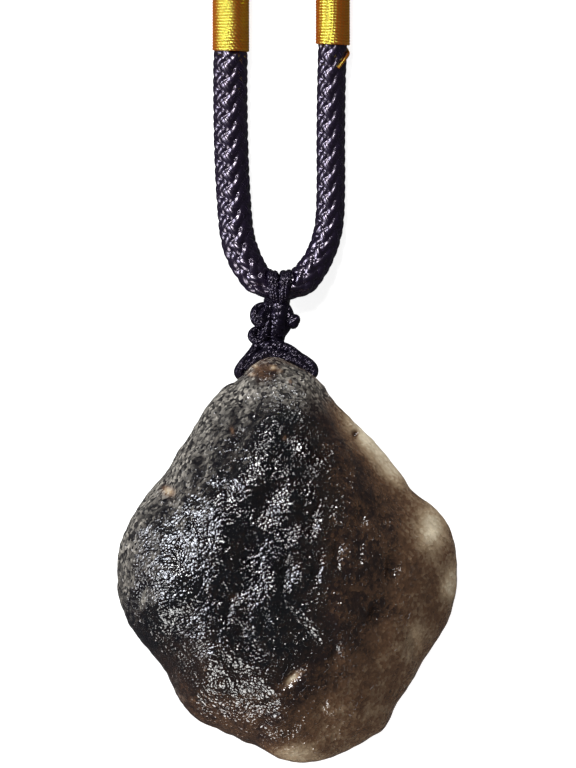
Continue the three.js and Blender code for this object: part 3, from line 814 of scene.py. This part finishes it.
# Tektite: natural silica glass, nearly black in bulk and tea brown where light comes through; that light,
# and a grey sheen on the sides towards the lamps, are painted into its colour. Soil water etched it all
# over into tiny round pits, so it glints in points and never as one broad gloss.
METRE = 1000.0                 # mm; a pattern's scale is how many of it fit into a metre
PIT_WIDTH = 0.33
PIT_DEPTHS = (0.6, 1.6)        # the shallowest pit's, to an average of 1, and what the rare deepest add
RARE_DEEP = 3.0                # the higher, the fewer pits are deep
SMALL_PIT_WIDTH = 0.2
SMALL_PIT_DEPTH = 0.25
GRIT_WIDTH = 0.45
GRIT_HEIGHT = 0.7
SKIN_RELIEF = 0.081            # mm that a height of 1 stands for; most pits are about a third as deep
CLEAR_CALM = {"From Min": 0.35, "From Max": 0.75, "To Min": 1.0, "To Max": 0.85}  # lower where clear
MOTTLE_WIDTH = 2.0
MOTTLE = 0.36                  # how much the mottling changes the clearness
SPECKLE = 0.16                 # and how much each pit's own tone does
RARE_SHEEN = 2.2               # the higher, the fewer pits hold the painted sheen
GLOSS_ROUGHNESS = 0.1
SHEEN_ROUGHNESS = 0.1          # what the painted sheen's places add to the roughness

glass, tree = new_material("etched tektite glass")
place = node(tree, "ShaderNodeTexCoord", {}).outputs["Object"]
clear = node(tree, "ShaderNodeAttribute", {}, attribute_name="painted_through_light").outputs["Fac"]
painted_sheen_share = node(tree, "ShaderNodeAttribute", {}, attribute_name="painted_sheen").outputs["Fac"]

pits = node(tree, "ShaderNodeTexVoronoi", {"Vector": place, "Scale": METRE / PIT_WIDTH})
tone = pits.outputs["Color"]   # each pit's own random value
bowl = node(tree, "ShaderNodeMath", {0: pits, 1: 2.0}, operation="POWER")
rare = node(tree, "ShaderNodeMath", {0: tone, 1: RARE_DEEP}, operation="POWER")
deep = node(tree, "ShaderNodeMath", {0: rare, 1: PIT_DEPTHS[1], 2: PIT_DEPTHS[0]}, operation="MULTIPLY_ADD")
bowl = node(tree, "ShaderNodeMath", {0: bowl, 1: deep}, operation="MULTIPLY")
grit = node(tree, "ShaderNodeTexNoise", {"Vector": place, "Scale": METRE / GRIT_WIDTH, "Detail": 1.0})
rough = node(tree, "ShaderNodeMath", {0: grit, 1: GRIT_HEIGHT, 2: bowl}, operation="MULTIPLY_ADD")
small = node(tree, "ShaderNodeTexVoronoi", {"Vector": place, "Scale": METRE / SMALL_PIT_WIDTH})
rough = node(tree, "ShaderNodeMath", {0: small, 1: SMALL_PIT_DEPTH, 2: rough}, operation="MULTIPLY_ADD")
calm = node(tree, "ShaderNodeMapRange", {"Value": clear, **CLEAR_CALM})
bump = node(tree, "ShaderNodeBump", {"Height": rough, "Strength": calm, "Distance": SKIN_RELIEF * MM})

# The mottling and the pits' tones make the glass here clearer and there darker, and leave its mean.
mottle = node(tree, "ShaderNodeTexNoise", {"Vector": place, "Scale": METRE / MOTTLE_WIDTH, "Detail": 3.0,
                                           "Roughness": 0.6})
speckle = node(tree, "ShaderNodeMath", {0: tone, 1: SPECKLE, 2: -(MOTTLE + SPECKLE) / 2},
               operation="MULTIPLY_ADD")
mixed = node(tree, "ShaderNodeMath", {0: mottle, 1: MOTTLE, 2: speckle}, operation="MULTIPLY_ADD")
# The body's colour is painted from the light that comes through: black where none does, pale tan where most
# does.
shade = node(tree, "ShaderNodeMath", {0: clear, 1: mixed}, operation="ADD")
body = node(tree, "ShaderNodeValToRGB", {"Fac": shade},
            stops=[(0.0, "#0b090e"), (0.2, "#261a16"), (0.42, "#5f4531"), (0.66, "#a28c70"),
                   (0.95, "#eadcc0")])
# Painted sheen: pits where it lies are mixed towards a light grey, in place of the glints and sheen that
# these sides would reflect.
grains = node(tree, "ShaderNodeMath", {0: tone, 1: RARE_SHEEN}, operation="POWER")
sheen_dots = node(tree, "ShaderNodeMath", {0: grains, 1: painted_sheen_share}, operation="MULTIPLY")
colour = node(tree, "ShaderNodeMixRGB", {"Fac": sheen_dots, "Color1": body, "Color2": linear("#c2bbae")})
matt = node(tree, "ShaderNodeMath", {0: painted_sheen_share, 1: SHEEN_ROUGHNESS, 2: GLOSS_ROUGHNESS},
            operation="MULTIPLY_ADD")
shader = node(tree, "ShaderNodeBsdfPrincipled", {
    "Base Color": colour, "Roughness": matt, "Normal": bump, "Specular IOR Level": 1.0})
node(tree, "ShaderNodeOutputMaterial", {"Surface": shader})
mesh.materials.clear()
mesh.materials.append(glass)
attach(stone, "root")
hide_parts("tektite")
